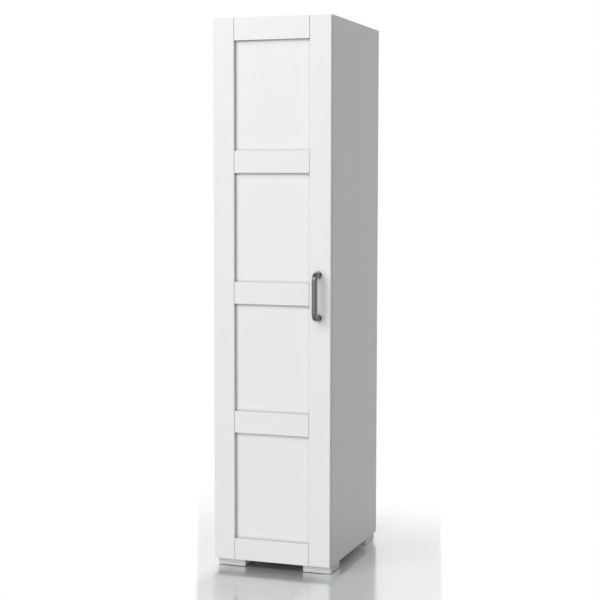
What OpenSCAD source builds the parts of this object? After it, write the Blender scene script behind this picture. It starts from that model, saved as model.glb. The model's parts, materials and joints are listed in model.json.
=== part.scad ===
// Tall single-door bathroom cabinet on four plate feet, with a framed door of four recessed panels,
// a bow handle, adjustable shelves and four concealed four-bar hinges.
// Millimetres, +Z up. The origin is on the floor, under the middle of the box that holds everything.
// The front faces -Y, and the door is hung on the left as seen from the front.

/* [Cabinet] */
// Outside width of the carcase
body_w = 450; // [400:10:600]
// Depth from the face of the door to the rear edges of the sides
body_d = 600; // [520:10:660]
// Height of the carcase, without the feet
body_h = 1980; // [1880:10:2120]
// Thickness of the sides, top, bottom and shelves
board_t = 16; // [15:0.5:19]

/* [Back] */
// Thickness of the hardboard back
back_t = 3; // [2.5:0.1:4]
// Distance from the back panel to the rear edges of the sides
back_inset = 10; // [8:1:20]
// Depth of the grooves that hold the back panel
back_groove = 5; // [4:0.5:7]
// Height of the flanges of the joining strip
joiner_h = 14; // [10:1:20]
// Thickness of the joining strip's walls
joiner_wall = 1; // [0.8:0.1:1.5]

/* [Shelves] */
// Clear height from the bottom panel to the fixed shelf
fixed_shelf_rise = 966; // [900:2:1020]
// Clear height from the bottom panel to the lowest adjustable shelf
shelf_1_rise = 304; // [240:32:336]
// Clear height from the lowest adjustable shelf to the next
shelf_2_rise = 256; // [224:2:280]
// Clear height from the third adjustable shelf to the fourth
shelf_3_drop = 288; // [256:2:320]
// Clear height from the fourth adjustable shelf to the top panel
shelf_4_drop = 250; // [230:2:290]
// Distance of the shelves behind the front edges of the sides
shelf_setback = 22; // [10:1:40]
// Gap between the shelves and the back panel
shelf_back_gap = 3; // [2:0.5:6]
// Gap at each end of an adjustable shelf
shelf_end_gap = 1; // [0.9:0.1:2]

/* [Shelf supports] */
// Diameter of the shelf support pegs
peg_d = 4.9; // [4.8:0.05:4.95]
// Diameter of the holes for the pegs
peg_hole_d = 5; // [5:0.05:5.2]
// Depth of the holes for the pegs
peg_hole_depth = 10; // [9:0.5:12]
// Spacing of the holes in a row
peg_pitch = 32; // [25:1:32]
// Distance of the front row of holes from the front edges of the sides
peg_front = 37; // [30:1:50]
// Distance between the front row and the rear row of holes
peg_rows = 416; // [320:32:448]
// Width of the support's tongue and collar
peg_tongue_w = 9; // [7:0.5:12]
// Length of the support's tongue under the shelf
peg_tongue_l = 8; // [6:0.5:12]
// Thickness of the support's tongue
peg_tongue_t = 2.5; // [2:0.1:3]
// Height of the support's collar over the underside of the shelf
peg_collar_up = 3; // [2:0.5:4]
// Height of the support's collar under the peg
peg_collar_down = 1.5; // [1:0.1:2]
// Gap between the support's collar and the end of the shelf
peg_collar_gap = 0.2; // [0.1:0.05:0.3]
// Gap between the tip of a peg and the end of its hole
peg_tip_gap = 1; // [0.5:0.1:2]

/* [Cam fittings] */
// Diameter of the cam lock
cam_d = 15; // [12:0.5:15]
// Depth of the cam lock
cam_h = 12; // [10:0.5:13]
// Distance from the board's end to the middle of the cam lock
cam_reach = 34; // [24:1:34]
// Diameter of the cam bolt's shank
cam_bolt_d = 6; // [5:0.5:7]
// Diameter of the cam bolt's head
cam_head_d = 7; // [6.6:0.1:7.6]
// Diameter of the cam bolt's neck
cam_neck_d = 4; // [3:0.1:4.5]
// Thickness of the cam bolt's collar
cam_collar_t = 1.5; // [1:0.1:2]
// Width of the cross recess in the cam lock
cam_cross_w = 1.2; // [0.8:0.1:1.6]
// Depth of the cross recess in the cam lock
cam_cross_h = 2; // [1:0.1:2.5]
// Depth of the cam bolt's thread in the side
cam_bolt_seat = 11; // [9:0.5:12]
// Diameter of the wooden dowels
dowel_d = 8; // [6:0.5:8]
// Length of the wooden dowels
dowel_l = 35; // [30:1:40]
// Depth of the dowels in the side
dowel_seat = 11; // [9:0.5:12]
// Distance of the front cam fittings from the front edges of the sides
cam_front = 60; // [58:1:66]
// Distance of the rear cam fittings from the rear edges of the sides
cam_rear = 80; // [60:1:100]
// Distance from each cam fitting to its dowel
dowel_step = 32; // [30:1:40]
// Gap between the inner end of a dowel and the end of its hole
dowel_end_gap = 1; // [0.5:0.1:2]

/* [Feet] */
// Height of the feet, with their glides
foot_h = 30; // [22:1:45]
// Width and depth of a foot
foot_w = 108; // [96:1:116]
// Distance of the feet from the outer faces of the sides
foot_side_inset = 5; // [2:1:20]
// Distance of the front feet behind the front edges of the sides
foot_front_inset = 3; // [2:1:6]
// Distance of the rear feet from the rear edges of the sides
foot_rear_inset = 12; // [6:1:30]
// Radius of a foot's upright corners
foot_corner_r = 4; // [2:0.5:8]
// Diameter of the glides under a foot
glide_d = 22; // [16:1:26]
// Thickness of the glides
glide_t = 2; // [1.5:0.1:3]
// Distance of the glides' middles from a foot's sides
glide_inset = 15; // [14:0.5:20]
// Diameter of the foot screws
foot_screw_d = 4; // [3.5:0.1:4.5]
// Diameter of the foot screws' heads
foot_screw_head_d = 8; // [7:0.1:9]
// Height of the foot screws' heads
foot_screw_head_h = 3; // [2:0.1:3.5]
// Thickness of a foot over the wells for its screw heads
foot_web_t = 8; // [6:0.5:9]
// Gap round the screw heads in their wells
foot_well_gap = 0.5; // [0.3:0.1:1]
// Distance of the foot screws from the middle of a foot, each way
foot_screw_step = 22; // [16:1:24]
// Depth of the foot screws in the bottom panel
foot_screw_seat = 12; // [9:0.5:13]

/* [Door] */
// Thickness of the door's frame
door_t = 22; // [20:0.5:24]
// Gap between the door and the carcase
door_gap = 2; // [2:0.1:3]
// Distance of the door's edges inside the carcase's outline
door_reveal = 1; // [0.5:0.1:2]
// Width of the upright stiles
stile_w = 80; // [60:1:100]
// Height of the cross rails
rail_w = 80; // [60:1:100]
// Depth of the panels behind the face of the frame
recess = 14; // [10:0.5:15]
// Thickness of the panels
panel_t = 5; // [4:0.1:5.5]
// Depth of the grooves that hold the panels and tenons
panel_groove = 10; // [8:0.5:12]
// Width of the bevels on a stile's inner edge and on the ends of the rails that meet it
joint_bevel = 2; // [1.2:0.1:3]
// Width of the small bevel round the face of the door
edge_bevel = 1; // [0.5:0.1:1.5]
// Diameter of the soft bumpers
bumper_d = 8; // [6:0.5:10]
// Distance of the bumpers from the ends of the door
bumper_end = 40; // [25:1:80]

/* [Handle] */
// Distance between the handle's screws
pull_pitch = 155; // [128:1:192]
// Distance from the face of the door to the front of the handle
pull_reach = 54; // [40:1:60]
// Width of the handle's bar
pull_w = 17.5; // [15:0.5:20]
// Thickness of the handle's bar
pull_t = 20; // [16:0.5:21]
// Radius of the bar's long edges
pull_corner = 4.5; // [3:0.5:6]
// Radius of the handle's bends, at the middle of the bar
pull_bend = 20; // [14:1:26]
// Extra width of the collars at the handle's ends
pull_collar = 0.8; // [0.5:0.1:2]
// Thickness of the collars at the handle's ends
pull_collar_t = 3; // [2:0.5:5]
// Distance of the handle from the edge of the door
pull_from_edge = 45; // [30:1:60]
// Height of the middle of the handle above the bottom of the door
pull_height = 984; // [800:1:1200]
// Diameter of the handle screws
pull_screw_d = 3.9; // [3.8:0.05:4.9]
// Diameter of the handle screws' heads
pull_screw_head_d = 8; // [7:0.5:10]
// Height of the handle screws' heads
pull_screw_head_h = 2.6; // [2:0.1:3]
// Depth of the handle screws in the handle
pull_screw_seat = 10; // [8:0.5:14]

/* [Hinge places] */
// Distance of the end hinges from the ends of the door
hinge_end = 100; // [80:1:110]
// Distance of the middle hinges from the ends of the door
hinge_mid = 690; // [660:1:720]

/* [Hinge cup] */
// Diameter of the cup
cup_d = 35; // [35:0.5:40]
// Depth of the cup
cup_h = 11.5; // [11.3:0.1:12.5]
// Distance from the door's edge to the middle of the cup
cup_edge = 22.5; // [22.5:0.1:23]
// Width of the pocket in the cup
pocket_w = 12.4; // [12.2:0.1:13]
// Thickness of the cup's rim
cup_wall = 0.8; // [0.6:0.05:0.9]
// Thickness of the cup's floor
cup_base = 1.1; // [0.8:0.1:1.2]
// Thickness of the cup's flange
flange_t = 1.2; // [0.8:0.1:1.5]
// Width of the flange round the cup
flange_rim = 1.5; // [1:0.1:3]
// Radius of the flange's ears
flange_ear_r = 6; // [5:0.5:8]
// Distance between the cup's screws
cup_screw_pitch = 45; // [45:1:52]
// Distance of the cup's screws past the middle of the cup
cup_screw_off = 9.5; // [6:0.5:10]
// Diameter of the cup's screws
cup_screw_d = 3.5; // [3:0.1:4]
// Length of the cup's screws, with the flange
cup_screw_l = 13; // [10:0.5:15]
// Height of the heads of the cup's screws
cup_screw_head_h = 1.6; // [1.2:0.1:2]
// Depth of the pivot pins in the walls of the cup
cup_pin_seat = 2.8; // [2:0.1:3]

/* [Hinge linkage] */
// Long link's cup pin, from the door's edge
long_cup_x = 10.5; // [10.3:0.1:10.6]
// Long link's cup pin, below the back of the door
long_cup_y = 3; // [2.9:0.1:3.1]
// Short link's cup pin, from the door's edge
short_cup_x = 13.5; // [13.4:0.1:14]
// Short link's cup pin, below the back of the door
short_cup_y = 5.5; // [5.4:0.1:5.7]
// Long link's arm pin, from the outer face of the side
long_arm_x = 42; // [41:0.1:44]
// Long link's arm pin, behind the front edge of the side
long_arm_y = 20; // [19:0.1:22]
// Short link's arm pin, from the outer face of the side
short_arm_x = 35.5; // [35:0.1:35.6]
// Short link's arm pin, in front of the front edge of the side
short_arm_y = 3; // [2.5:0.1:3.2]
// Diameter of the pivot pins
pin_d = 2.2; // [2:0.05:2.25]
// Width of the metal round a link's pin hole
eye_wall = 1.2; // [1:0.05:1.2]
// Width of the links
link_w = 3; // [2.6:0.1:3.2]
// Thickness of the short link
short_link_t = 3.6; // [3:0.1:4]
// Thickness of each cheek of the long link
long_link_t = 1.8; // [1.4:0.1:2]
// Free travel of the short link's arm pin along its slot
slot_travel = 1.6; // [1.5:0.1:1.8]
// Width of the slot for the short link's arm pin
slot_w = 3.1; // [3:0.05:3.3]

/* [Hinge arm] */
// Thickness of the arm's steel
arm_wall = 1.5; // [1.2:0.1:1.6]
// Radius of the arm's nose round the slot
arm_nose_r = 3.4; // [3.2:0.1:3.5]
// Length of the straight part of the nose behind the slot
arm_nose_l = 4.5; // [4:0.1:6]
// Radius of the arm's head round the long link's pin
arm_head_r = 5.2; // [5:0.1:6]
// Radius of the bend where the arm comes down to its plate
arm_bend_r = 4; // [3:0.5:5]
// Distance of that bend behind the front edge of the side
arm_bend_y = 38; // [36:0.5:40]
// Height of the arm over the side
arm_rise = 15; // [13:0.1:16]
// Distance from the front edge of the side to the arm's rear end
arm_end = 70; // [68:1:78]
// Distance of the adjusting screw behind the front edge of the side
adjust_y = 46; // [45:0.5:49]
// Distance of the fixing screw behind the front edge of the side
fixing_y = 60; // [58:0.5:62]
// Diameter of the adjusting and fixing screws
arm_screw_d = 4; // [3.5:0.1:4.5]
// Depth of the adjusting and fixing screws in the plate's rail
arm_screw_seat = 8; // [6:0.5:9]
// Height of the fixing screw's head
fixing_head_h = 2.4; // [2:0.1:3]
// Height of the adjusting screw's head
adjust_head_h = 1.2; // [1:0.1:1.6]
// Height of the rivet heads on the long link's arm pin
rivet_h = 0.8; // [0.5:0.1:1]
// Width of the rivet heads' rims
rivet_rim = 0.9; // [0.6:0.1:1]
// Thickness of the mounting plate's base
plate_t = 2.2; // [2:0.1:3]
// Height of the mounting plate along the side
plate_h = 50; // [48:1:54]
// Width of the mounting plate's wings
plate_wing_w = 14; // [12:0.5:16]
// Front end of the mounting plate's base, behind the front edge of the side
plate_front = 20; // [18:0.5:24]
// Distance of the rail behind the front end of the plate
rail_setback = 5; // [4:0.5:8]
// Distance between the mounting plate's screws
plate_screw_pitch = 32; // [30:1:34]
// Diameter of the mounting plate's screws
plate_screw_d = 5; // [4.5:0.1:6]
// Diameter of the mounting plate's screw heads
plate_screw_head_d = 9; // [8:0.1:10]
// Height of the mounting plate's screw heads
plate_screw_head_h = 2; // [1.5:0.1:2.5]
// Depth of the mounting plate's screws in the side
plate_screw_seat = 11; // [9:0.5:13]

/* [Wall bracket] */
// Width of the wall bracket
bracket_w = 30; // [20:1:50]
// Length of the wall bracket's leg under the top panel
bracket_l = 40; // [36:1:60]
// Height of the wall bracket's leg along the back panel
bracket_h = 45; // [38:1:60]
// Thickness of the wall bracket
bracket_t = 2; // [1.5:0.1:3]
// Diameter of the hole for the wall screw
wall_hole_d = 6.5; // [5:0.1:8]
// Extra radius of the hole in the back panel behind it
wall_hole_ease = 1; // [0.5:0.1:2]
// Distance of the wall screw's hole below the top panel
wall_hole_drop = 28; // [22:1:34]
// Distance of the bracket's rear screw from the back panel
bracket_screw_back = 13; // [12:1:15]
// Distance between the bracket's two screws
bracket_screw_pitch = 16; // [14:1:18]
// Diameter of the bracket's own screws
bracket_screw_d = 3.9; // [3.5:0.1:4.5]
// Height of the heads of the bracket's own screws
bracket_screw_head_h = 2.4; // [2:0.1:3]
// Depth of the bracket's own screws in the top panel
bracket_screw_seat = 11; // [9:0.5:13]

/* [Clearances] */
// Radial clearance of a pin that turns in a hole
running_gap = 0.05; // [0.03:0.01:0.08]
// Clearance round a board or fitting in its groove or recess
loose_gap = 0.15; // [0.1:0.01:0.2]
// Gap between the layers of the linkage
layer_gap = 0.3; // [0.25:0.01:0.35]
// Gap between a cup and the bottom of its bore in the door
bore_gap = 0.3; // [0.2:0.05:0.5]
// Gap between the closed door's bumpers and the side
bumper_gap = 0.3; // [0.2:0.05:0.5]

/* [Hidden] */

$fn = 64;
// Overlap of cutting tools past the face they cut
cut = 1;
// Step of a strap's straight sides inside its round ends
strap_ease = 0.05;
// Width of the cross slots in the screw heads
cross_w = 0.8;
// Bridge between the cheeks of a long link: its length as a share of the straight part, its bite
// into each cheek and the step of its sides inside the cheeks' edges
bridge_share = 0.25;
bridge_bite = 0.5;
bridge_ease = 0.3;

// Planes of the carcase
half_w = body_w / 2;
half_in = half_w - board_t;
door_front_y = (pull_reach - body_d) / 2;
door_back_y = door_front_y + door_t;
front_y = door_back_y + door_gap;
rear_y = door_front_y + body_d;
top_z = foot_h + body_h;
floor_z = foot_h + board_t;
ceiling_z = top_z - board_t;

// Planes of the back and its grooves
back_y = rear_y - back_inset - back_t;
back_reach = back_groove - loose_gap;

// Undersides of the shelves
fixed_shelf_z = floor_z + fixed_shelf_rise;
// Joint between the two halves of the back, behind the fixed shelf
seam_z = fixed_shelf_z + board_t / 2;
shelf_1_z = floor_z + shelf_1_rise;
shelf_2_z = shelf_1_z + board_t + shelf_2_rise;
shelf_4_z = ceiling_z - shelf_4_drop - board_t;
shelf_3_z = shelf_4_z - shelf_3_drop - board_t;
adjustable_z = [shelf_1_z, shelf_2_z, shelf_3_z, shelf_4_z];
shelf_front_y = front_y + shelf_setback;
shelf_rear_y = back_y - shelf_back_gap;
peg_y = [front_y + peg_front, front_y + peg_front + peg_rows];
collar_t = shelf_end_gap - peg_collar_gap;
peg_l = peg_hole_depth - peg_tip_gap;

// Undersides of the boards that are jointed to the sides, and the lines of their fittings
jointed_z = [foot_h, fixed_shelf_z, ceiling_z];
cam_y = [front_y + cam_front, rear_y - cam_rear];
dowel_y = [cam_y[0] + dowel_step, cam_y[1] - dowel_step];
head_hole_r = cam_head_d / 2 + loose_gap;

// Middles of the feet on the right, the front edge first
foot_x = half_w - foot_side_inset - foot_w / 2;
foot_y = [front_y + foot_front_inset + foot_w / 2, rear_y - foot_rear_inset - foot_w / 2];
// Top of the wide part of a foot's screw holes
screw_well_z = foot_h - foot_web_t;

// Door outline and frame
door_w = body_w - 2 * door_reveal;
door_h = body_h - 2 * door_reveal;
door_x = door_w / 2;
door_z = foot_h + door_reveal;
door_top_z = door_z + door_h;
opening_h = (door_h - 5 * rail_w) / 4;
rail_x = door_x - stile_w;
panel_y = door_front_y + recess;
tongue_l = panel_groove - loose_gap;
function rail_z(i) = door_z + i * (rail_w + opening_h);

// Handle
pull_x = door_x - pull_from_edge;
pull_z = door_z + pull_height;
bar_y0 = door_front_y - pull_reach + pull_t / 2;
// Diameter of the circle round the bar's section, which the collars cover
bar_round_d = 2 * (norm([pull_w / 2 - pull_corner, pull_t / 2 - pull_corner]) + pull_corner);

// Hinge heights above the floor
hinge_z = [door_z + hinge_end, door_z + hinge_mid, door_top_z - hinge_mid, door_top_z - hinge_end];

// Points of a hinge seen from above, with x from the outer face of the left side
// and y from the front edges of the sides, towards the back
plane_y = -door_gap;
cup_x = door_reveal + cup_edge;
cup_floor_y = plane_y - cup_h;
cup_screw_x = cup_x + cup_screw_off;
long_cup = [door_reveal + long_cup_x, plane_y - long_cup_y];
short_cup = [door_reveal + short_cup_x, plane_y - short_cup_y];
long_arm = [long_arm_x, long_arm_y];
short_arm = [short_arm_x, -short_arm_y];
// Knees that lead the links past the edge of the door when it is open
long_knee = long_cup + [6.25, 1];
short_knee = short_cup + [3, -2.9];
nose_end = short_arm + [0, arm_nose_l];
arm_top_x = board_t + arm_rise;
// Outer and inner faces of the arm's web over the rail
arm_face_x = arm_top_x - strap_ease;
arm_under_x = arm_face_x - arm_wall;
arm_bend = [arm_top_x - arm_bend_r, arm_bend_y];
arm_tail = [arm_top_x - arm_bend_r, arm_end - arm_bend_r];
pin_r = pin_d / 2;
pin_hole_r = pin_r + running_gap;
eye_r = pin_r + eye_wall;
link_r = link_w / 2;
// Half thicknesses of the linkage's layers, from its middle outwards
short_half = short_link_t / 2;
long_in = short_half + layer_gap;
long_out = long_in + long_link_t;
arm_in = long_out + layer_gap;
arm_out = arm_in + arm_wall;
rail_half = arm_in - layer_gap;
cup_pin_half = pocket_w / 2 + cup_pin_seat;
plate_wing_r = plate_wing_w / 2;

// Wall bracket
bracket_screw_y = [back_y - bracket_screw_back, back_y - bracket_screw_back - bracket_screw_pitch];
wall_hole_z = ceiling_z - wall_hole_drop;

// A block from one corner to the opposite one
module block(low, high) {
    translate(low) cube(high - low);
}

// Round bars and holes along X, Y and Z from a start point
module bar_x(start, length, radius) {
    translate(start) rotate([0, 90, 0]) cylinder(h = length, r = radius);
}

module bar_y(start, length, radius) {
    translate(start) rotate([-90, 0, 0]) cylinder(h = length, r = radius);
}

module bar_z(start, length, radius) {
    translate(start) cylinder(h = length, r = radius);
}

// Children at the left and mirrored to the right
module both_sides() {
    children();
    mirror([1, 0, 0]) children();
}

// A flat strap between two points, with a round end of a given radius at each.
// Its straight sides lie a little inside the ends, so that they cross the ends cleanly.
module strap(p, q, rp, rq) {
    d = q - p;
    a = atan2(d[1], d[0]);
    b = acos((rp - rq) / norm(d));
    out = [cos(a + b), sin(a + b)];
    back = [cos(a - b), sin(a - b)];
    sp = rp - strap_ease;
    sq = rq - strap_ease;
    translate(p) circle(r = rp);
    translate(q) circle(r = rq);
    polygon([p + sp * out, q + sq * out, q + sq * back, p + sp * back]);
}

// A flat outline made solid between two heights
module layer(z_low, z_high) {
    translate([0, 0, z_low]) linear_extrude(z_high - z_low) children();
}

// A rectangle with round corners, about its middle
module round_rectangle(w, d, r) {
    square([w, d - 2 * r], center = true);
    square([w - 2 * r, d], center = true);
    for (a = [-1, 1], b = [-1, 1])
        translate([a * (w / 2 - r), b * (d / 2 - r)]) circle(r = r);
}

// Children at each hinge, in the hinge's own frame
module at_hinges() {
    for (z = hinge_z) translate([-half_w, front_y, z]) children();
}

// A cross-headed screw along Z, with its head below the start and its shank above
module screw(head_d, head_h, shank_d, shank_l) {
    difference() {
        union() {
            translate([0, 0, -head_h]) cylinder(h = head_h, d = head_d);
            cylinder(h = shank_l, d = shank_d);
        }
        for (a = [0, 90])
            rotate(a) translate([-head_d / 4, -cross_w / 2, -head_h - cut])
                cube([head_d / 2, cross_w, cut + head_h / 2]);
    }
}

// A cut that bevels an upright edge of the door's face, on the left (-1) or right (1) of a piece
module upright_bevel(x, side, bevel) {
    translate([x, door_front_y, foot_h - cut]) rotate(side * 45 - 90)
        translate([-bevel / sqrt(2), -2 * bevel, 0]) cube([4 * bevel, 4 * bevel, body_h + 2 * cut]);
}

// Cuts that bevel the bottom and top edges of the door's face
module level_bevels() {
    for (edge = [[door_z, -135], [door_top_z, 135]])
        translate([-half_w - cut, door_front_y, edge[0]]) rotate([edge[1], 0, 0])
            translate([0, -edge_bevel / sqrt(2), -2 * edge_bevel])
                cube([body_w + 2 * cut, 4 * edge_bevel, 4 * edge_bevel]);
}

// Left side, with the back's groove and the holes that both sides have
module side_panel() {
    difference() {
        block([-half_w, front_y, foot_h], [-half_in, rear_y, top_z]);
        block([-half_in - back_groove, back_y - loose_gap, foot_h - cut],
            [-half_in + cut, back_y + back_t + loose_gap, top_z + cut]);
        for (z = jointed_z) {
            for (y = cam_y)
                bar_x([-half_in - cam_bolt_seat, y, z + board_t / 2], cam_bolt_seat + cut, cam_bolt_d / 2);
            for (y = dowel_y)
                bar_x([-half_in - dowel_seat, y, z + board_t / 2], dowel_seat + cut, dowel_d / 2);
        }
        for (z = adjustable_z, k = [-1:1], y = peg_y)
            bar_x([-half_in - peg_hole_depth, y, z - peg_d / 2 + k * peg_pitch],
                peg_hole_depth + cut, peg_hole_d / 2);
    }
}

module side_panel_left() {
    color("white") difference() {
        side_panel();
        for (z = hinge_z, s = [-1, 1])
            bar_x([-half_in - plate_screw_seat, front_y + peg_front, z + s * plate_screw_pitch / 2],
                plate_screw_seat + cut, plate_screw_d / 2);
    }
}

module side_panel_right() {
    color("white") mirror([1, 0, 0]) side_panel();
}

// Blind holes for cam locks, bolts and dowels in both ends of a board
module fitting_holes(z) {
    both_sides() {
        for (y = cam_y) {
            bar_x([-half_in - cut, y, z + board_t / 2], cam_reach + cut, head_hole_r);
            bar_z([-half_in + cam_reach, y, z - cut], cam_h + cut, cam_d / 2 + loose_gap);
        }
        for (y = dowel_y)
            bar_x([-half_in - cut, y, z + board_t / 2], cut + dowel_l - dowel_seat + dowel_end_gap,
                dowel_d / 2);
    }
}

module top_panel() {
    color("white") difference() {
        block([-half_in, front_y, ceiling_z], [half_in, rear_y, top_z]);
        block([-half_w, back_y - loose_gap, ceiling_z - cut],
            [half_w, back_y + back_t + loose_gap, ceiling_z + back_groove]);
        fitting_holes(ceiling_z);
        for (y = bracket_screw_y)
            bar_z([0, y, ceiling_z - cut], bracket_screw_seat + cut, bracket_screw_d / 2);
    }
}

module bottom_panel() {
    color("white") difference() {
        block([-half_in, front_y, foot_h], [half_in, rear_y, floor_z]);
        block([-half_w, back_y - loose_gap, floor_z - back_groove],
            [half_w, back_y + back_t + loose_gap, floor_z + cut]);
        fitting_holes(foot_h);
        at_foot_screws() bar_z([0, 0, foot_h - cut], foot_screw_seat + cut, foot_screw_d / 2);
    }
}

module fixed_shelf() {
    color("white") difference() {
        block([-half_in, shelf_front_y, fixed_shelf_z], [half_in, shelf_rear_y, fixed_shelf_z + board_t]);
        fitting_holes(fixed_shelf_z);
    }
}

module adjustable_shelf(z) {
    block([-half_in + shelf_end_gap, shelf_front_y, z],
        [half_in - shelf_end_gap, shelf_rear_y, z + board_t]);
}

module adjustable_shelf_1() { color("white") adjustable_shelf(shelf_1_z); }

module adjustable_shelf_2() { color("white") adjustable_shelf(shelf_2_z); }

module adjustable_shelf_3() { color("white") adjustable_shelf(shelf_3_z); }

module adjustable_shelf_4() { color("white") adjustable_shelf(shelf_4_z); }

// Steel supports: a peg in the side, a collar against it and a tongue under the shelf
module shelf_supports() {
    color("silver") both_sides() for (z = adjustable_z, y = peg_y) {
        bar_x([-half_in - peg_l, y, z - peg_d / 2], peg_l + collar_t, peg_d / 2);
        block([-half_in, y - peg_tongue_w / 2, z - peg_d - peg_collar_down],
            [-half_in + collar_t, y + peg_tongue_w / 2, z + peg_collar_up]);
        block([-half_in, y - peg_tongue_w / 2, z - peg_tongue_t],
            [-half_in + shelf_end_gap + peg_tongue_l, y + peg_tongue_w / 2, z]);
    }
}

module back_panel(z_low, z_high) {
    block([-half_in - back_reach, back_y, z_low], [half_in + back_reach, back_y + back_t, z_high]);
}

module back_panel_lower() {
    color("whitesmoke") back_panel(floor_z - back_reach, seam_z - joiner_wall / 2 - loose_gap);
}

module back_panel_upper() {
    color("whitesmoke") difference() {
        back_panel(seam_z + joiner_wall / 2 + loose_gap, ceiling_z + back_reach);
        bar_y([0, back_y - cut, wall_hole_z], back_t + 2 * cut, wall_hole_d / 2 + wall_hole_ease);
    }
}

// Plastic strip of H section between the two halves of the back
module back_joining_strip() {
    end_x = half_in - loose_gap;
    color("white") difference() {
        block([-end_x, back_y - loose_gap - joiner_wall, seam_z - joiner_h / 2],
            [end_x, back_y + back_t + loose_gap + joiner_wall, seam_z + joiner_h / 2]);
        block([-half_w, back_y - loose_gap, seam_z - joiner_h / 2 - cut],
            [half_w, back_y + back_t + loose_gap, seam_z - joiner_wall / 2]);
        block([-half_w, back_y - loose_gap, seam_z + joiner_wall / 2],
            [half_w, back_y + back_t + loose_gap, seam_z + joiner_h / 2 + cut]);
    }
}

// Round cams with a cross recess below and a hole that takes the bolt's head
module cam_locks() {
    color("silver") both_sides() for (z = jointed_z, y = cam_y)
        translate([-half_in + cam_reach, y, z]) difference() {
            cylinder(h = cam_h, d = cam_d);
            bar_x([-cam_d, 0, board_t / 2], cam_d + loose_gap, head_hole_r);
            for (a = [0, 90])
                rotate(a) translate([-cam_d / 4, -cam_cross_w / 2, -cut])
                    cube([cam_d / 2, cam_cross_w, cut + cam_cross_h]);
        }
}

// Bolts with a thread in the side, a collar, a thin neck and a round head inside the cam
module cam_bolts() {
    head_l = cam_head_d / 2;
    color("silver") both_sides() for (z = jointed_z, y = cam_y)
        translate([-half_in, y, z + board_t / 2]) rotate([0, 90, 0]) {
            translate([0, 0, -cam_bolt_seat]) cylinder(h = cam_bolt_seat, d = cam_bolt_d);
            cylinder(h = cam_collar_t, d = cam_head_d);
            cylinder(h = cam_reach, d = cam_neck_d);
            translate([0, 0, cam_reach - head_l]) cylinder(h = head_l, d = cam_head_d);
        }
}

module wooden_dowels() {
    color("burlywood") both_sides() for (z = jointed_z, y = dowel_y)
        bar_x([-half_in - dowel_seat, y, z + board_t / 2], dowel_l, dowel_d / 2);
}

// Children at each foot screw, two to a foot
module at_foot_screws() {
    both_sides() for (y = foot_y, k = [-1, 1])
        translate([foot_x + k * foot_screw_step, y + k * foot_screw_step, 0]) children();
}

// Square plastic foot with round corners, on the right at a given depth
module foot(y) {
    difference() {
        translate([foot_x, y, glide_t])
            linear_extrude(foot_h - glide_t) round_rectangle(foot_w, foot_w, foot_corner_r);
        for (k = [-1, 1]) translate([foot_x + k * foot_screw_step, y + k * foot_screw_step, 0]) {
            cylinder(h = foot_h + cut, d = foot_screw_d + 2 * loose_gap);
            cylinder(h = screw_well_z, d = foot_screw_head_d + 2 * foot_well_gap);
        }
    }
}

module foot_front_left() { color("lightgray") mirror([1, 0, 0]) foot(foot_y[0]); }

module foot_front_right() { color("lightgray") foot(foot_y[0]); }

module foot_rear_left() { color("lightgray") mirror([1, 0, 0]) foot(foot_y[1]); }

module foot_rear_right() { color("lightgray") foot(foot_y[1]); }

module foot_screws() {
    color("silver") at_foot_screws() translate([0, 0, screw_well_z])
        screw(foot_screw_head_d, foot_screw_head_h, foot_screw_d, foot_h + foot_screw_seat - screw_well_z);
}

module foot_glides() {
    reach = foot_w / 2 - glide_inset;
    color("dimgray") both_sides() for (y = foot_y, a = [-1, 1], b = [-1, 1])
        bar_z([foot_x + a * reach, y + b * reach, 0], glide_t, glide_d / 2);
}

// Angle under the top panel, whose upright leg takes the screw into the wall
module wall_bracket() {
    color("silver") difference() {
        union() {
            block([-bracket_w / 2, back_y - bracket_l, ceiling_z - bracket_t],
                [bracket_w / 2, back_y, ceiling_z]);
            block([-bracket_w / 2, back_y - bracket_t, ceiling_z - bracket_h],
                [bracket_w / 2, back_y, ceiling_z]);
        }
        for (y = bracket_screw_y)
            bar_z([0, y, ceiling_z - bracket_t - cut], bracket_t + 2 * cut,
                bracket_screw_d / 2 + loose_gap);
        bar_y([0, back_y - bracket_t - cut, wall_hole_z], bracket_t + 2 * cut, wall_hole_d / 2);
    }
}

module wall_bracket_screws() {
    color("silver") for (y = bracket_screw_y) translate([0, y, ceiling_z - bracket_t])
        screw(2 * bracket_screw_d, bracket_screw_head_h, bracket_screw_d, bracket_t + bracket_screw_seat);
}

// Plates on the side, with round-ended wings for the screws and a rail for the arm
module hinge_mounting_plates() {
    color("silver") at_hinges() difference() {
        union() {
            block([board_t, peg_front - plate_wing_r, plate_wing_r - plate_h / 2],
                [board_t + plate_t, peg_front + plate_wing_r, plate_h / 2 - plate_wing_r]);
            for (s = [-1, 1])
                bar_x([board_t, peg_front, s * (plate_h / 2 - plate_wing_r)], plate_t, plate_wing_r);
            block([board_t, plate_front, -arm_out], [board_t + plate_t, arm_end, arm_out]);
            block([board_t, plate_front + rail_setback, -rail_half], [arm_under_x, arm_end, rail_half]);
        }
        for (s = [-1, 1])
            bar_x([board_t - cut, peg_front, s * plate_screw_pitch / 2], plate_t + 2 * cut,
                plate_screw_d / 2 + loose_gap);
        for (y = [adjust_y, fixing_y])
            bar_x([arm_under_x - arm_screw_seat, y, 0], arm_screw_seat + cut, arm_screw_d / 2);
    }
}

module mounting_plate_screws() {
    color("silver") at_hinges() for (s = [-1, 1])
        translate([board_t + plate_t, peg_front, s * plate_screw_pitch / 2]) rotate([0, -90, 0])
            screw(plate_screw_head_d, plate_screw_head_h, plate_screw_d, plate_t + plate_screw_seat);
}

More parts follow.
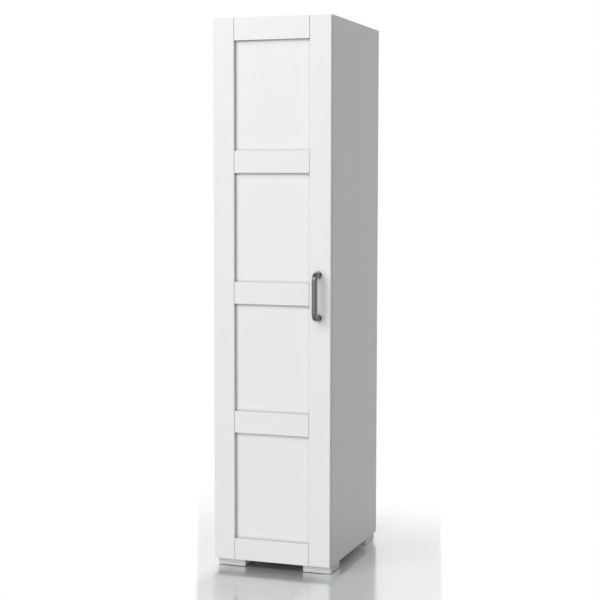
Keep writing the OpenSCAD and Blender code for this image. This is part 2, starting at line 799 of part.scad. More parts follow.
// Outline of the arm's side walls: nose, head, neck and the part over the rail
module arm_outline() {
    strap(short_arm, nose_end, arm_nose_r, arm_nose_r);
    strap(nose_end, long_arm, arm_nose_r, arm_head_r);
    strap(long_arm, arm_bend, arm_head_r, arm_bend_r);
    strap(arm_bend, arm_tail, arm_bend_r, arm_bend_r);
    translate([board_t + plate_t + layer_gap, arm_bend_y])
        square([arm_rise - arm_bend_r - plate_t - layer_gap, arm_tail[1] - arm_bend_y]);
}

// Space between the arm's side walls: all but a web along the edge away from the side
module arm_core() {
    strap(nose_end, long_arm, arm_nose_r - arm_wall, arm_head_r - arm_wall);
    strap(long_arm, arm_bend, arm_head_r - arm_wall, arm_bend_r - arm_wall);
    strap(arm_bend, arm_tail, arm_bend_r - arm_wall, arm_bend_r - arm_wall);
    polygon([[0, nose_end[1]], nose_end, long_arm, arm_bend, arm_tail, [0, arm_tail[1]]]);
    translate([0, short_arm[1] - 2 * arm_nose_r]) square([2 * long_arm_x, arm_nose_l + 2 * arm_nose_r + cut]);
    translate([0, arm_tail[1] - cut]) square([2 * long_arm_x, 2 * arm_bend_r]);
}

// Bent steel arms, each with a slot that leaves the short link's pin a little free
module hinge_arms() {
    color("silver") at_hinges() difference() {
        layer(-arm_out, arm_out) arm_outline();
        layer(-arm_in, arm_in) arm_core();
        for (k = [-1, 1])
            translate(concat(short_arm + [0, k * slot_travel / 2], -arm_out - cut))
                cylinder(h = 2 * (arm_out + cut), d = slot_w);
        translate(concat(short_arm, 0)) cube([slot_w, slot_travel, 2 * (arm_out + cut)], center = true);
        translate(concat(long_arm, -arm_out - cut)) cylinder(h = 2 * (arm_out + cut), r = pin_r);
        for (y = [adjust_y, fixing_y])
            bar_x([arm_under_x - cut, y, 0], arm_wall + 2 * cut, arm_screw_d / 2 + loose_gap);
    }
}

module arm_fixing_screws() {
    color("silver") at_hinges() translate([arm_face_x, fixing_y, 0]) rotate([0, -90, 0])
        screw(2 * arm_screw_d, fixing_head_h, arm_screw_d, arm_wall + arm_screw_seat);
}

module arm_adjusting_screws() {
    color("silver") at_hinges() translate([arm_face_x, adjust_y, 0]) rotate([0, -90, 0])
        screw(1.5 * arm_screw_d, adjust_head_h, arm_screw_d, arm_wall + arm_screw_seat);
}

// Riveted pins that carry the long links on the arms
module arm_pivot_pins() {
    color("silver") at_hinges() {
        bar_z(concat(long_arm, -arm_out), 2 * arm_out, pin_r);
        for (z = [-arm_out - rivet_h, arm_out]) bar_z(concat(long_arm, z), rivet_h, pin_r + rivet_rim);
    }
}

// Outline of a link: an eye at each end and a knee between them
module link_outline(p, knee, q) {
    strap(p, knee, link_r, link_r);
    strap(knee, q, link_r, link_r);
    for (e = [p, q]) translate(e) circle(r = eye_r);
}

// Long links: two cheeks outside the short link, joined by a bridge near the arm
module long_hinge_links() {
    span = long_arm - long_knee;
    color("silver") at_hinges() difference() {
        union() {
            for (s = [0, 1]) mirror([0, 0, s])
                layer(long_in, long_out) link_outline(long_cup, long_knee, long_arm);
            translate(concat(long_knee + span / 2, -long_in - bridge_bite)) rotate(atan2(span[1], span[0]))
                translate([0, bridge_ease - link_r, 0])
                    cube([bridge_share * norm(span), link_w - 2 * bridge_ease, 2 * (long_in + bridge_bite)]);
        }
        for (p = [long_cup, long_arm]) bar_z(concat(p, -long_out - cut), 2 * (long_out + cut), pin_hole_r);
    }
}

module short_hinge_links() {
    color("silver") at_hinges() difference() {
        layer(-short_half, short_half) link_outline(short_cup, short_knee, short_arm);
        bar_z(concat(short_cup, -short_half - cut), 2 * (short_half + cut), pin_hole_r);
        bar_z(concat(short_arm, -short_half - cut), 2 * (short_half + cut), pin_r);
    }
}

// Pins fixed in the short links, free in the arms' slots
module short_link_arm_pins() {
    color("silver") at_hinges() bar_z(concat(short_arm, -arm_out), 2 * arm_out, pin_r);
}

// Outline of a cup's flange: part of a ring and an ear above and below
module flange_outline() {
    intersection() {
        union() {
            translate([cup_x, 0]) circle(r = cup_d / 2 + flange_rim);
            strap([cup_screw_x, -cup_screw_pitch / 2], [cup_screw_x, cup_screw_pitch / 2],
                flange_ear_r, flange_ear_r);
        }
        translate([cup_x - flange_rim, -cup_d - cup_screw_pitch]) square(2 * (cup_d + cup_screw_pitch));
    }
}

// Cast cups, solid but for a pocket across the middle in which the links lie
module hinge_cups() {
    pocket_y = cup_floor_y + cup_base;
    color("silver") at_hinges() difference() {
        union() {
            bar_y([cup_x, cup_floor_y, 0], cup_h, cup_d / 2);
            translate([0, plane_y + flange_t, 0]) rotate([90, 0, 0])
                linear_extrude(flange_t) flange_outline();
        }
        intersection() {
            bar_y([cup_x, pocket_y, 0], 2 * cup_h, cup_d / 2 - cup_wall);
            block([cup_x - cup_d, pocket_y, -pocket_w / 2],
                [cup_x + cup_d, pocket_y + 2 * cup_h, pocket_w / 2]);
        }
        for (p = [long_cup, short_cup]) bar_z(concat(p, -cup_pin_half), 2 * cup_pin_half, pin_r);
        for (s = [-1, 1])
            bar_y([cup_screw_x, plane_y - cut, s * cup_screw_pitch / 2], flange_t + 2 * cut,
                cup_screw_d / 2 + loose_gap);
    }
}

module cup_pivot_pins() {
    color("silver") at_hinges() for (p = [long_cup, short_cup])
        bar_z(concat(p, -cup_pin_half), 2 * cup_pin_half, pin_r);
}

module cup_screws() {
    color("silver") at_hinges() for (s = [-1, 1])
        translate([cup_screw_x, plane_y + flange_t, s * cup_screw_pitch / 2]) rotate([90, 0, 0])
            screw(2 * cup_screw_d, cup_screw_head_h, cup_screw_d, cup_screw_l);
}

// Left stile, grooved for the panels and tenons, with its front edges bevelled
module door_stile() {
    difference() {
        block([-door_x, door_front_y, door_z], [-rail_x, door_back_y, door_top_z]);
        block([-rail_x - panel_groove, panel_y - loose_gap, door_z - cut],
            [-rail_x + cut, panel_y + panel_t + loose_gap, door_top_z + cut]);
        upright_bevel(-door_x, -1, edge_bevel);
        upright_bevel(-rail_x, 1, joint_bevel);
        level_bevels();
    }
}

module door_stile_left() {
    bore_h = cup_h + bore_gap;
    color("white") difference() {
        door_stile();
        at_hinges() {
            bar_y([cup_x, plane_y - bore_h, 0], bore_h + cut, cup_d / 2 + loose_gap);
            for (s = [-1, 1])
                bar_y([cup_screw_x, plane_y + flange_t - cup_screw_l, s * cup_screw_pitch / 2],
                    cup_screw_l, cup_screw_d / 2);
        }
    }
}

module door_stile_right() {
    color("white") difference() {
        mirror([1, 0, 0]) door_stile();
        for (s = [-1, 1])
            bar_y([pull_x, door_front_y - cut, pull_z + s * pull_pitch / 2], door_t + 2 * cut,
                pull_screw_d / 2 + 2 * loose_gap);
    }
}

// Cross rail with a tenon at each end and bevelled ends, and grooves for the panels it meets
module door_rail(i, panel_below, panel_above) {
    z = rail_z(i);
    groove_low = [-half_w, panel_y - loose_gap, z];
    groove_high = [half_w, panel_y + panel_t + loose_gap, z];
    difference() {
        union() {
            block([-rail_x, door_front_y, z], [rail_x, door_back_y, z + rail_w]);
            block([-rail_x - tongue_l, panel_y, z], [rail_x + tongue_l, panel_y + panel_t, z + rail_w]);
        }
        if (panel_below)
            block(groove_low - [0, 0, cut], groove_high + [0, 0, panel_groove]);
        if (panel_above)
            block(groove_low + [0, 0, rail_w - panel_groove], groove_high + [0, 0, rail_w + cut]);
        for (side = [-1, 1]) upright_bevel(side * rail_x, side, joint_bevel);
        level_bevels();
    }
}

module door_rail_bottom() { color("white") door_rail(0, false, true); }

module door_rail_lower() { color("white") door_rail(1, true, true); }

module door_rail_middle() { color("white") door_rail(2, true, true); }

module door_rail_upper() { color("white") door_rail(3, true, true); }

module door_rail_top() { color("white") door_rail(4, true, false); }

// Flat panel above a given rail, held in the grooves all round
module door_panel(i) {
    block([-rail_x - tongue_l, panel_y, rail_z(i) + rail_w - tongue_l],
        [rail_x + tongue_l, panel_y + panel_t, rail_z(i + 1) + tongue_l]);
}

module door_panel_bottom() { color("whitesmoke") door_panel(0); }

module door_panel_lower() { color("whitesmoke") door_panel(1); }

module door_panel_upper() { color("whitesmoke") door_panel(2); }

module door_panel_top() { color("whitesmoke") door_panel(3); }

// Section of the handle's bar
module pull_section() {
    round_rectangle(pull_w, pull_t, pull_corner);
}

// Half of the handle, from the middle of its bar to the end of its upper post
module half_pull() {
    bend_y = bar_y0 + pull_bend;
    bend_z = pull_pitch / 2 - pull_bend;
    translate([0, bar_y0, 0]) linear_extrude(bend_z) pull_section();
    translate([0, bend_y, bend_z]) rotate([90, 0, -90]) rotate_extrude(angle = 90)
        translate([pull_bend, 0]) rotate(90) pull_section();
    translate([0, bend_y, pull_pitch / 2]) rotate([-90, 0, 0])
        linear_extrude(door_front_y - bend_y) pull_section();
    translate([0, door_front_y - pull_collar_t, pull_pitch / 2]) rotate([-90, 0, 0])
        cylinder(h = pull_collar_t, d1 = bar_round_d + pull_collar, d2 = bar_round_d + 2 * pull_collar);
}

module handle() {
    color("gray") translate([pull_x, 0, pull_z]) difference() {
        union() {
            half_pull();
            mirror([0, 0, 1]) half_pull();
        }
        for (s = [-1, 1])
            bar_y([0, door_front_y - pull_screw_seat, s * pull_pitch / 2], pull_screw_seat + cut,
                pull_screw_d / 2);
    }
}

module handle_screws() {
    color("silver") for (s = [-1, 1])
        translate([pull_x, door_back_y, pull_z + s * pull_pitch / 2]) rotate([90, 0, 0])
            screw(pull_screw_head_d, pull_screw_head_h, pull_screw_d, door_t + pull_screw_seat);
}

// Soft discs on the back of the right stile, opposite the edge of the side
module door_bumpers() {
    color("gainsboro") for (z = [door_z + bumper_end, door_top_z - bumper_end])
        bar_y([half_w - board_t / 2, door_back_y, z], door_gap - bumper_gap, bumper_d / 2);
}

side_panel_left();
side_panel_right();
top_panel();
bottom_panel();
fixed_shelf();
adjustable_shelf_1();
adjustable_shelf_2();
adjustable_shelf_3();
adjustable_shelf_4();
shelf_supports();
back_panel_lower();
back_panel_upper();
back_joining_strip();
cam_locks();
cam_bolts();
wooden_dowels();
foot_front_left();
foot_front_right();
foot_rear_left();
foot_rear_right();
foot_screws();
foot_glides();
wall_bracket();
wall_bracket_screws();
hinge_mounting_plates();
mounting_plate_screws();
hinge_arms();
arm_fixing_screws();
arm_adjusting_screws();
arm_pivot_pins();
long_hinge_links();
short_hinge_links();
short_link_arm_pins();
hinge_cups();
cup_pivot_pins();
cup_screws();
door_stile_left();
door_stile_right();
door_rail_bottom();
door_rail_lower();
door_rail_middle();
door_rail_upper();
door_rail_top();
door_panel_bottom();
door_panel_lower();
door_panel_upper();
door_panel_top();
handle();
handle_screws();
door_bumpers();
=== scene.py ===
"""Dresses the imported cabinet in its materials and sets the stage, lights and camera, in metres."""

import json
import math

import bmesh
import bpy
from mathutils import Matrix, Vector


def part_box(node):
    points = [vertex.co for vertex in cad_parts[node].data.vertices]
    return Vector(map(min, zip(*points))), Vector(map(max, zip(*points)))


# Camera, solved from the cabinet's corners in the photograph: metres, degrees and pixels
CAMERA_PLACE = (1.805, -5.175, 1.417)
CAMERA_YAW = 19.081
CAMERA_PITCH = 4.593
CAMERA_ROLL = 0.096
FOCAL_PIXELS = 1450.6
FRAME_PIXELS = 600
SENSOR_MM = 36.0
FAR_CLIP = 100.0

# Noise: the part of its range that is used, its scales in cells a metre, and its detail
NOISE_LOW, NOISE_HIGH = 0.3, 0.7
FOIL_CLOUDS, FOIL_GLOSS, FOIL_PEEL = 3.0, 40.0, 700.0
PLASTIC_CLOUDS, PLASTIC_GRAIN = 25.0, 900.0
METAL_CLOUDS, METAL_LINES = 60.0, 300.0
TIMBER_GRAIN = 220.0
RUBBER_CLOUDS = 400.0
PLAIN_DETAIL, METAL_DETAIL, TIMBER_DETAIL = 2.0, 3.0, 4.0

# Shares of the noise's scale along x, y and z. A small one draws it out into lines along that axis
EVEN = (1.0, 1.0, 1.0)
HANDLE_BRUSH = (1.0, 1.0, 0.06)
DOWEL_GRAIN = (0.08, 1.0, 1.0)

# Heights of the fine reliefs, in metres
FOIL_RELIEF = 0.00003
BACK_RELIEF = 0.00006
PLASTIC_RELIEF = 0.00004
METAL_RELIEF = 0.00002
TIMBER_RELIEF = 0.0001

# How far gloss varies to either side of a material's roughness
FOIL_SPREAD = (-0.03, 0.03)
PLASTIC_SPREAD = (-0.05, 0.05)
METAL_SPREAD = (-0.06, 0.08)

# Tones: the darkest of the foil's clouds as a share of its tone, and the darkest and lightest of
# the two materials that are used once
CLOUD_SHARE = 0.985
TIMBER_TONES = ((0.46, 0.29, 0.16), (0.62, 0.43, 0.26))
RUBBER_TONES = (0.62, 0.74)

# Gloss of those two, and how much light goes into the rubber and how deep, in metres
TIMBER_ROUGHNESS = 0.6
RUBBER_ROUGHNESS = 0.25
RUBBER_SHARE = 0.15
RUBBER_DEPTH = (0.002, 0.002, 0.002)

# Clear layers: the foil's thin coat, and the lacquer over the handle's metal
FOIL_COAT = 0.08
FOIL_COAT_ROUGHNESS = 0.25
LACQUER_IOR = 1.7
LACQUER_ROUGHNESS = 0.32

# Painted shade in inner corners: its reach from an inner corner in metres, and the share of the
# tone lost to it. It is deepest where no more than the share CLOSED_IN of the view is open. On the
# door it ends a margin in front of the panels' rear faces, in metres
DOOR_PAINTED_SHADE = (0.014, 0.42)
PLASTIC_PAINTED_SHADE = (0.01, 0.3)
FOOT_PAINTED_SHADE = (0.025, 0.35)
SHADE_SAMPLES = 8
CLOSED_IN = 0.3
BACK_MARGIN = 0.0005

# Stage sizes in metres
FLOOR_SIDE = 30.0
DOME_RADIUS = 14.0
DOME_SEGMENTS = (48, 24)
BACKDROP = ((-3.6, 3.0, 0.0), (3.6, 3.0, 3.2))

# The floor's tones: painted shade under the cabinet and close to it, and its own tone further
# out. They change from a little inside the cabinet's footprint to a reach beside it, and to another
# before and behind it. The footprint is given by its middle and half its size
UNDER_PAINTED_SHADE = (0.20, 0.21, 0.215)
NEAR_PAINTED_SHADE = (0.42, 0.44, 0.45)
FLOOR_TONE = (0.85, 0.89, 0.91)
NEAR_SHARE = 0.011
FOOTPRINT_MIDDLE = (0.0, 0.027, 0.0)
FOOTPRINT_HALF = (0.225, 0.300, 0.0)
FOOTPRINT_INSET = 0.085
SHADE_REACH = (0.03, 0.90)
FLOOR_ROUGHNESS = 0.14
FLOOR_IOR = 3.2
FLOOR_SPECULAR = 1.0

# Four lines that the floor fades to white past: the direction across the line, and the distances
# along it at which the floor is white and at which it has its own tone
FLOOR_LINES = (
    ((0.922, 0.387, 0.0), -0.385, -0.368),
    ((0.971, 0.237, 0.0), 0.563, 0.545),
    ((0.0, 1.0, 0.0), 1.05, 0.05),
    ((0.0, 1.0, 0.0), -1.60, -0.75),
)

# Lights. The far key light has an azimuth from the front (positive to the right), a height and a
# width in degrees, and a strength. The soft ones have a place, a target and a size in metres, and
# a power in watts
WORLD_STRENGTH = 0.27
KEY_LIGHT = (-16.0, 24.0, 75.0, 2.05)
SOFT_LIGHTS = {
    "top": ((-1.4, -3.0, 2.9), (-0.1, -0.3, 1.7), 1.2, 19.0),
    "rear": ((-0.8, 3.3, 2.6), (0.0, 0.3, 0.9), 1.6, 34.0),
    "side": ((3.2, 0.2, 2.8), (0.2, 0.1, 1.7), 1.0, 4.5),
}


def grey(tone):
    """A neutral colour."""
    return (tone, tone, tone)


def new_material(name):
    """A node material; returns it, its nodes, its links and its shader."""
    material = bpy.data.materials.new(name)
    material.use_nodes = True
    nodes = material.node_tree.nodes
    links = material.node_tree.links
    return material, nodes, links, nodes["Principled BSDF"]


def object_coords(nodes):
    """The socket of a piece's own coordinates, which stay with it when it moves."""
    return nodes.new("ShaderNodeTexCoord").outputs["Object"]


def noise(nodes, links, coords, scale, detail=PLAIN_DETAIL, stretch=EVEN):
    """A noise texture, drawn out along chosen axes; returns its factor's socket."""
    mapping = nodes.new("ShaderNodeMapping")
    mapping.inputs["Scale"].default_value = stretch
    links.new(coords, mapping.inputs["Vector"])
    texture = nodes.new("ShaderNodeTexNoise")
    texture.inputs["Scale"].default_value = scale
    texture.inputs["Detail"].default_value = detail
    links.new(mapping.outputs["Vector"], texture.inputs["Vector"])
    return texture.outputs["Fac"]


def spread(nodes, links, factor, low, high, start=NOISE_LOW, end=NOISE_HIGH):
    """Maps a factor's range from start to end to values between low and high."""
    ranged = nodes.new("ShaderNodeMapRange")
    ranged.inputs["From Min"].default_value = start
    ranged.inputs["From Max"].default_value = end
    ranged.inputs["To Min"].default_value = low
    ranged.inputs["To Max"].default_value = high
    links.new(factor, ranged.inputs["Value"])
    return ranged.outputs["Result"]


def uneven_gloss(nodes, links, shader, factor, roughness, limits):
    """Varies a shader's roughness between limits to either side of its own."""
    low, high = (roughness + limit for limit in limits)
    links.new(spread(nodes, links, factor, low, high), shader.inputs["Roughness"])


def bump(nodes, links, shader, height, distance):
    """Adds a fine relief to a shader."""
    node = nodes.new("ShaderNodeBump")
    node.inputs["Strength"].default_value = 1.0
    node.inputs["Distance"].default_value = distance
    links.new(height, node.inputs["Height"])
    links.new(node.outputs["Normal"], shader.inputs["Normal"])


def tinted(nodes, links, shader, factor, dark, light):
    """Varies a shader's colour softly between two tones; returns the colour's socket."""
    ramp = nodes.new("ShaderNodeValToRGB")
    first, last = ramp.color_ramp.elements
    first.position = NOISE_LOW
    first.color = (*dark, 1.0)
    last.position = NOISE_HIGH
    last.color = (*light, 1.0)
    links.new(factor, ramp.inputs["Fac"])
    links.new(ramp.outputs["Color"], shader.inputs["Base Color"])
    return ramp.outputs["Color"]


def paint_corner_shade(nodes, links, shader, colour, corner_shade, front=None):
    """Paints shade into a colour in inner corners, as ambient occlusion gives it. Where front is
    given, only at a y that is less.
    """
    reach, depth = corner_shade
    # Painted shade: ambient occlusion darkens the colour in inner corners
    corner = nodes.new("ShaderNodeAmbientOcclusion")
    corner.samples = SHADE_SAMPLES
    corner.inputs["Distance"].default_value = reach
    kept = spread(nodes, links, corner.outputs["AO"], 1.0 - depth, 1.0, CLOSED_IN, 1.0)
    mix = nodes.new("ShaderNodeMix")
    mix.data_type = "RGBA"
    mix.blend_type = "MULTIPLY"
    mix.inputs["Factor"].default_value = 1.0
    if front is not None:
        axes = nodes.new("ShaderNodeSeparateXYZ")
        links.new(object_coords(nodes), axes.inputs["Vector"])
        before = nodes.new("ShaderNodeMath")
        before.operation = "LESS_THAN"
        before.inputs[1].default_value = front
        links.new(axes.outputs["Y"], before.inputs[0])
        links.new(before.outputs["Value"], mix.inputs["Factor"])
    links.new(colour, mix.inputs["A"])
    links.new(kept, mix.inputs["B"])
    links.new(mix.outputs["Result"], shader.inputs["Base Color"])


def foil(name, tone, roughness, relief=FOIL_RELIEF, corner_shade_to=None):
    """Smooth satin foil: a faint cloudiness in tone and gloss, a fine orange-peel relief, and
    painted shade in inner corners where asked.
    """
    material, nodes, links, shader = new_material(name)
    coords = object_coords(nodes)
    clouds = noise(nodes, links, coords, FOIL_CLOUDS)
    colour = tinted(nodes, links, shader, clouds, grey(CLOUD_SHARE * tone), grey(tone))
    # Painted shade in the inner corners of the door's front
    if corner_shade_to is not None:
        paint_corner_shade(nodes, links, shader, colour, DOOR_PAINTED_SHADE, corner_shade_to)
    gloss = noise(nodes, links, coords, FOIL_GLOSS)
    uneven_gloss(nodes, links, shader, gloss, roughness, FOIL_SPREAD)
    bump(nodes, links, shader, noise(nodes, links, coords, FOIL_PEEL), relief)
    shader.inputs["Coat Weight"].default_value = FOIL_COAT
    shader.inputs["Coat Roughness"].default_value = FOIL_COAT_ROUGHNESS
    return material


def moulded(name, dark, light, roughness, corner_shade=PLASTIC_PAINTED_SHADE):
    """Moulded plastic with a fine spark-eroded grain and painted shade in its inner corners."""
    material, nodes, links, shader = new_material(name)
    coords = object_coords(nodes)
    clouds = noise(nodes, links, coords, PLASTIC_CLOUDS)
    # Painted shade in the plastic's inner corners
    paint_corner_shade(nodes, links, shader, tinted(nodes, links, shader, clouds, dark, light), corner_shade)
    grain = noise(nodes, links, coords, PLASTIC_GRAIN)
    uneven_gloss(nodes, links, shader, grain, roughness, PLASTIC_SPREAD)
    bump(nodes, links, shader, grain, PLASTIC_RELIEF)
    return material


def metal(name, dark, light, roughness, brush=EVEN, lacquer=0.0):
    """Plated or satin metal with fine lines, which brush draws out, and a share of lacquer."""
    material, nodes, links, shader = new_material(name)
    coords = object_coords(nodes)
    shader.inputs["Metallic"].default_value = 1.0
    clouds = noise(nodes, links, coords, METAL_CLOUDS, stretch=brush)
    tinted(nodes, links, shader, clouds, grey(dark), grey(light))
    lines = noise(nodes, links, coords, METAL_LINES, METAL_DETAIL, brush)
    uneven_gloss(nodes, links, shader, lines, roughness, METAL_SPREAD)
    bump(nodes, links, shader, lines, METAL_RELIEF)
    shader.inputs["Coat Weight"].default_value = lacquer
    shader.inputs["Coat IOR"].default_value = LACQUER_IOR
    shader.inputs["Coat Roughness"].default_value = LACQUER_ROUGHNESS
    return material


def beech(name):
    """Pale timber with grain along the dowels."""
    material, nodes, links, shader = new_material(name)
    coords = object_coords(nodes)
    grain = noise(nodes, links, coords, TIMBER_GRAIN, TIMBER_DETAIL, DOWEL_GRAIN)
    tinted(nodes, links, shader, grain, *TIMBER_TONES)
    shader.inputs["Roughness"].default_value = TIMBER_ROUGHNESS
    bump(nodes, links, shader, grain, TIMBER_RELIEF)
    return material


def soft_clear(name):
    """Cloudy soft rubber of a stick-on bumper."""
    material, nodes, links, shader = new_material(name)
    clouds = noise(nodes, links, object_coords(nodes), RUBBER_CLOUDS)
    dark, light = RUBBER_TONES
    tinted(nodes, links, shader, clouds, grey(dark), grey(light))
    shader.inputs["Roughness"].default_value = RUBBER_ROUGHNESS
    shader.inputs["Subsurface Weight"].default_value = RUBBER_SHARE
    shader.inputs["Subsurface Radius"].default_value = RUBBER_DEPTH
    return material


def make_looks():
    """One material for each material slot. The door's front has painted shade in its inner corners,
    its rear face none.
    """
    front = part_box("door_panel_top")[1][1] - BACK_MARGIN
    foot_dark, foot_light = (0.74, 0.76, 0.76), (0.79, 0.80, 0.80)
    return {
        "white_board": foil("white_board", 0.80, 0.42),
        # The door's frame and panel get painted shade in inner corners on their front
        "door_frame": foil("door_frame", 0.82, 0.40, corner_shade_to=front),
        "door_panel": foil("door_panel", 0.82, 0.42, corner_shade_to=front),
        "back_board": foil("back_board", 0.74, 0.55, BACK_RELIEF),
        "white_plastic": moulded("white_plastic", grey(0.72), grey(0.76), 0.4),
        # The feet get painted shade over a wider reach than the other plastics
        "foot_plastic": moulded("foot_plastic", foot_dark, foot_light, 0.45, FOOT_PAINTED_SHADE),
        "glide_plastic": moulded("glide_plastic", grey(0.40), grey(0.46), 0.6),
        "bumper_rubber": soft_clear("bumper_rubber"),
        "beech": beech("beech"),
        "handle_metal": metal("handle_metal", 0.08, 0.11, 0.31, HANDLE_BRUSH, lacquer=0.8),
        "cast_metal": metal("cast_metal", 0.50, 0.58, 0.38),
        "plated_steel": metal("plated_steel", 0.56, 0.64, 0.28),
    }


def dress(frame):
    """Gives each CAD node the material of its slot."""
    looks = make_looks()
    for part in frame["record"]["subparts"]:
        for slot in frame["nodes"][part["node"]].material_slots:
            slot.material = looks[part["material_slot"]]


def link(thing):
    """Puts an object in the scene."""
    bpy.context.scene.collection.objects.link(thing)


def add_camera():
    """Adds the camera, at the photograph's place and angle."""
    yaw, pitch, roll = (math.radians(a) for a in (CAMERA_YAW, CAMERA_PITCH, CAMERA_ROLL))
    data = bpy.data.cameras.new("camera")
    data.sensor_width = SENSOR_MM
    data.lens = FOCAL_PIXELS * SENSOR_MM / FRAME_PIXELS
    data.clip_end = FAR_CLIP
    camera = bpy.data.objects.new("camera", data)
    aim = Matrix.Rotation(yaw, 4, "Z") @ Matrix.Rotation(math.pi / 2 - pitch, 4, "X")
    camera.matrix_world = Matrix.Translation(CAMERA_PLACE) @ aim @ Matrix.Rotation(roll, 4, "Z")
    link(camera)
    bpy.context.scene.camera = camera


def add_stage(name, mesh, material, seen=True, mirrored=True, lights_cabinet=False):
    """Adds a stage piece that the camera sees, gloss mirrors and the cabinet is lit by, or not."""
    mesh.materials.append(material)
    piece = bpy.data.objects.new(name, mesh)
    piece.visible_camera = seen
    piece.visible_glossy = mirrored
    piece.visible_diffuse = lights_cabinet
    piece.visible_shadow = lights_cabinet
    link(piece)


def plane(name, low, high):
    """The mesh of a level or upright plane, given by its low and high corner."""
    (x0, y0, z0), (x1, y1, z1) = low, high
    points = [(x0, y0, z0), (x1, y0, z0), (x1, y1, z0), (x0, y1, z0)]
    if y0 == y1:
        points = [(x0, y0, z0), (x1, y0, z0), (x1, y0, z1), (x0, y0, z1)]
    mesh = bpy.data.meshes.new(name)
    mesh.from_pydata(points, [], [(0, 1, 2, 3)])
    return mesh


def dome(name):
    """The mesh of a sphere round the whole stage."""
    mesh = bpy.data.meshes.new(name)
    shape = bmesh.new()
    round_it, up_it = DOME_SEGMENTS
    bmesh.ops.create_uvsphere(shape, u_segments=round_it, v_segments=up_it, radius=DOME_RADIUS)
    shape.to_mesh(mesh)
    shape.free()
    return mesh


def add_floor(material):
    """Adds a floor in five planes. Only the one under the cabinet lights and shades it."""
    half = FLOOR_SIDE / 2
    middle_x, middle_y, _ = FOOTPRINT_MIDDLE
    half_x, half_y, _ = FOOTPRINT_HALF
    low_x, high_x = middle_x - half_x, middle_x + half_x
    low_y, high_y = middle_y - half_y, middle_y + half_y
    sheets = {
        "floor_under": ((low_x, low_y, 0), (high_x, high_y, 0)),
        "floor_left": ((-half, -half, 0), (low_x, half, 0)),
        "floor_right": ((high_x, -half, 0), (half, half, 0)),
        "floor_front": ((low_x, -half, 0), (high_x, low_y, 0)),
        "floor_rear": ((low_x, high_y, 0), (high_x, half, 0)),
    }
    for name, (low, high) in sheets.items():
        under = name == "floor_under"
        add_stage(name, plane(name, low, high), material, lights_cabinet=under)


def white_glow(name):
    """A plain white material that gives light."""
    material = bpy.data.materials.new(name)
    material.use_nodes = True
    nodes = material.node_tree.nodes
    nodes.clear()
    light = nodes.new("ShaderNodeEmission")
    output = nodes.new("ShaderNodeOutputMaterial")
    material.node_tree.links.new(light.outputs["Emission"], output.inputs["Surface"])
    return material


def vector_math(nodes, links, operation, first, second=None):
    """One vector operation on a socket and a constant; returns the node."""
    node = nodes.new("ShaderNodeVectorMath")
    node.operation = operation
    links.new(first, node.inputs[0])
    if second is not None:
        node.inputs[1].default_value = second
    return node


def combine(nodes, links, operation, first, second):
    """One operation on two values."""
    node = nodes.new("ShaderNodeMath")
    node.operation = operation
    links.new(first, node.inputs[0])
    links.new(second, node.inputs[1])
    return node.outputs["Value"]


def smooth_step(nodes, links, value, start, end):
    """Maps a value smoothly to 0 at start and 1 at end."""
    step = nodes.new("ShaderNodeMapRange")
    step.interpolation_type = "SMOOTHSTEP"
    step.inputs["From Min"].default_value = min(start, end)
    step.inputs["From Max"].default_value = max(start, end)
    step.inputs["To Min"].default_value = 0.0 if start < end else 1.0
    step.inputs["To Max"].default_value = 1.0 if start < end else 0.0
    links.new(value, step.inputs["Value"])
    return step.outputs["Result"]


def floor_tone_and_painted_shade(nodes, links, place):
    """The floor's colour: painted shade, dark under the cabinet and paler with distance from it."""
    offset = vector_math(nodes, links, "SUBTRACT", place, FOOTPRINT_MIDDLE).outputs["Vector"]
    size = vector_math(nodes, links, "ABSOLUTE", offset).outputs["Vector"]
    past = vector_math(nodes, links, "SUBTRACT", size, FOOTPRINT_HALF).outputs["Vector"]
    axes = nodes.new("ShaderNodeSeparateXYZ")
    links.new(past, axes.inputs["Vector"])
    beside, before = (
        smooth_step(nodes, links, axes.outputs[axis], -FOOTPRINT_INSET, reach)
        for axis, reach in zip("XY", SHADE_REACH)
    )
    # Painted shade: the floor is darkest under the cabinet and lighter further from it
    tone = nodes.new("ShaderNodeValToRGB")
    first, last = tone.color_ramp.elements
    first.color = (*UNDER_PAINTED_SHADE, 1.0)
    last.color = (*FLOOR_TONE, 1.0)
    tone.color_ramp.elements.new(NEAR_SHARE).color = (*NEAR_PAINTED_SHADE, 1.0)
    links.new(combine(nodes, links, "MAXIMUM", beside, before), tone.inputs["Fac"])
    return tone.outputs["Color"]


def floor_share(nodes, links, place):
    """How much of the floor's own look is left: 1 inside all four lines, and 0 past any."""
    share = None
    for across, white, own in FLOOR_LINES:
        distance = vector_math(nodes, links, "DOT_PRODUCT", place, across).outputs["Value"]
        step = smooth_step(nodes, links, distance, white, own)
        share = step if share is None else combine(nodes, links, "MULTIPLY", share, step)
    return share


def floor_material():
    """Pale glossy floor with painted shade under and near the cabinet, fading into white past four
    lines.
    """
    material, nodes, links, shader = new_material("floor")
    shader.inputs["Roughness"].default_value = FLOOR_ROUGHNESS
    shader.inputs["IOR"].default_value = FLOOR_IOR
    shader.inputs["Specular IOR Level"].default_value = FLOOR_SPECULAR
    place = nodes.new("ShaderNodeNewGeometry").outputs["Position"]
    links.new(floor_tone_and_painted_shade(nodes, links, place), shader.inputs["Base Color"])
    light = nodes.new("ShaderNodeEmission")
    mix = nodes.new("ShaderNodeMixShader")
    links.new(floor_share(nodes, links, place), mix.inputs["Fac"])
    links.new(light.outputs["Emission"], mix.inputs[1])
    links.new(shader.outputs["BSDF"], mix.inputs[2])
    links.new(mix.outputs["Shader"], nodes["Material Output"].inputs["Surface"])
    return material


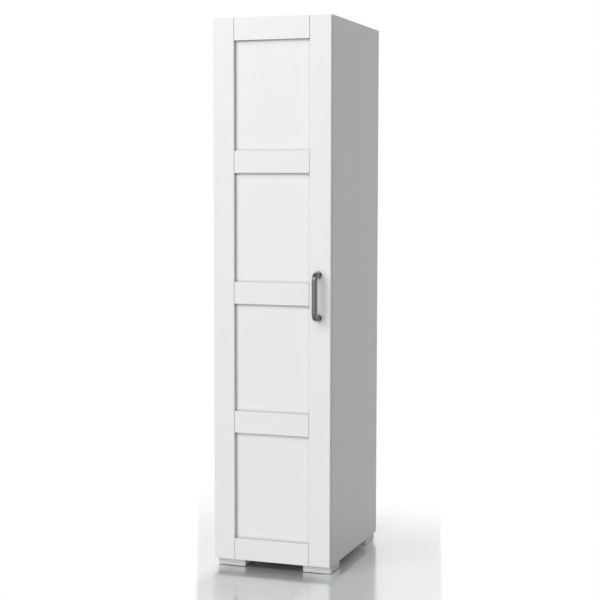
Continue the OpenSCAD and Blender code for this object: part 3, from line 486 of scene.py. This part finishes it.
def add_surround():
    """Adds a white backdrop that only gloss mirrors and a white dome that only the camera sees."""
    white = white_glow("backdrop")
    add_stage("backdrop", plane("backdrop", *BACKDROP), white, seen=False)
    add_stage("dome", dome("dome"), white, mirrored=False)


def add_world():
    """Adds even white light from all sides."""
    world = bpy.data.worlds.new("studio")
    world.use_nodes = True
    background = world.node_tree.nodes["Background"]
    background.inputs["Color"].default_value = (1.0, 1.0, 1.0, 1.0)
    background.inputs["Strength"].default_value = WORLD_STRENGTH
    bpy.context.scene.world = world


def add_key_light():
    """Adds the far key light."""
    azimuth, height, width, strength = KEY_LIGHT
    data = bpy.data.lights.new("key", "SUN")
    data.energy = strength
    data.angle = math.radians(width)
    lamp = bpy.data.objects.new("key", data)
    round_z = Matrix.Rotation(math.radians(azimuth), 4, "Z")
    lamp.matrix_world = round_z @ Matrix.Rotation(math.radians(90.0 - height), 4, "X")
    link(lamp)


def add_soft_light(name, place, target, size, power):
    """Adds a square soft light aimed at a point."""
    data = bpy.data.lights.new(name, "AREA")
    data.shape = "SQUARE"
    data.size = size
    data.energy = power
    lamp = bpy.data.objects.new(name, data)
    aim = (Vector(target) - Vector(place)).to_track_quat("-Z", "Y")
    lamp.matrix_world = Matrix.Translation(place) @ aim.to_matrix().to_4x4()
    link(lamp)


def set_colours():
    """Shows light as it is, so that white stays white."""
    bpy.context.scene.view_settings.view_transform = "Standard"


with open("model.json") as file:
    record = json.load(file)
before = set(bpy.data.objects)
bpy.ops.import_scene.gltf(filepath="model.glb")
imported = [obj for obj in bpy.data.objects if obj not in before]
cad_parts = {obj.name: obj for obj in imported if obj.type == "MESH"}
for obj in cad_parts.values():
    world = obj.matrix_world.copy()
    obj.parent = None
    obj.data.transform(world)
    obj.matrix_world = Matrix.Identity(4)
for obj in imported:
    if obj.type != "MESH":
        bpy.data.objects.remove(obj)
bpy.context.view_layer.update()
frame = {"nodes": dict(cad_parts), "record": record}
dress(frame)
set_colours()
add_camera()
add_floor(floor_material())
add_surround()
add_world()
add_key_light()
for light_name, settings in SOFT_LIGHTS.items():
    add_soft_light(light_name, *settings)
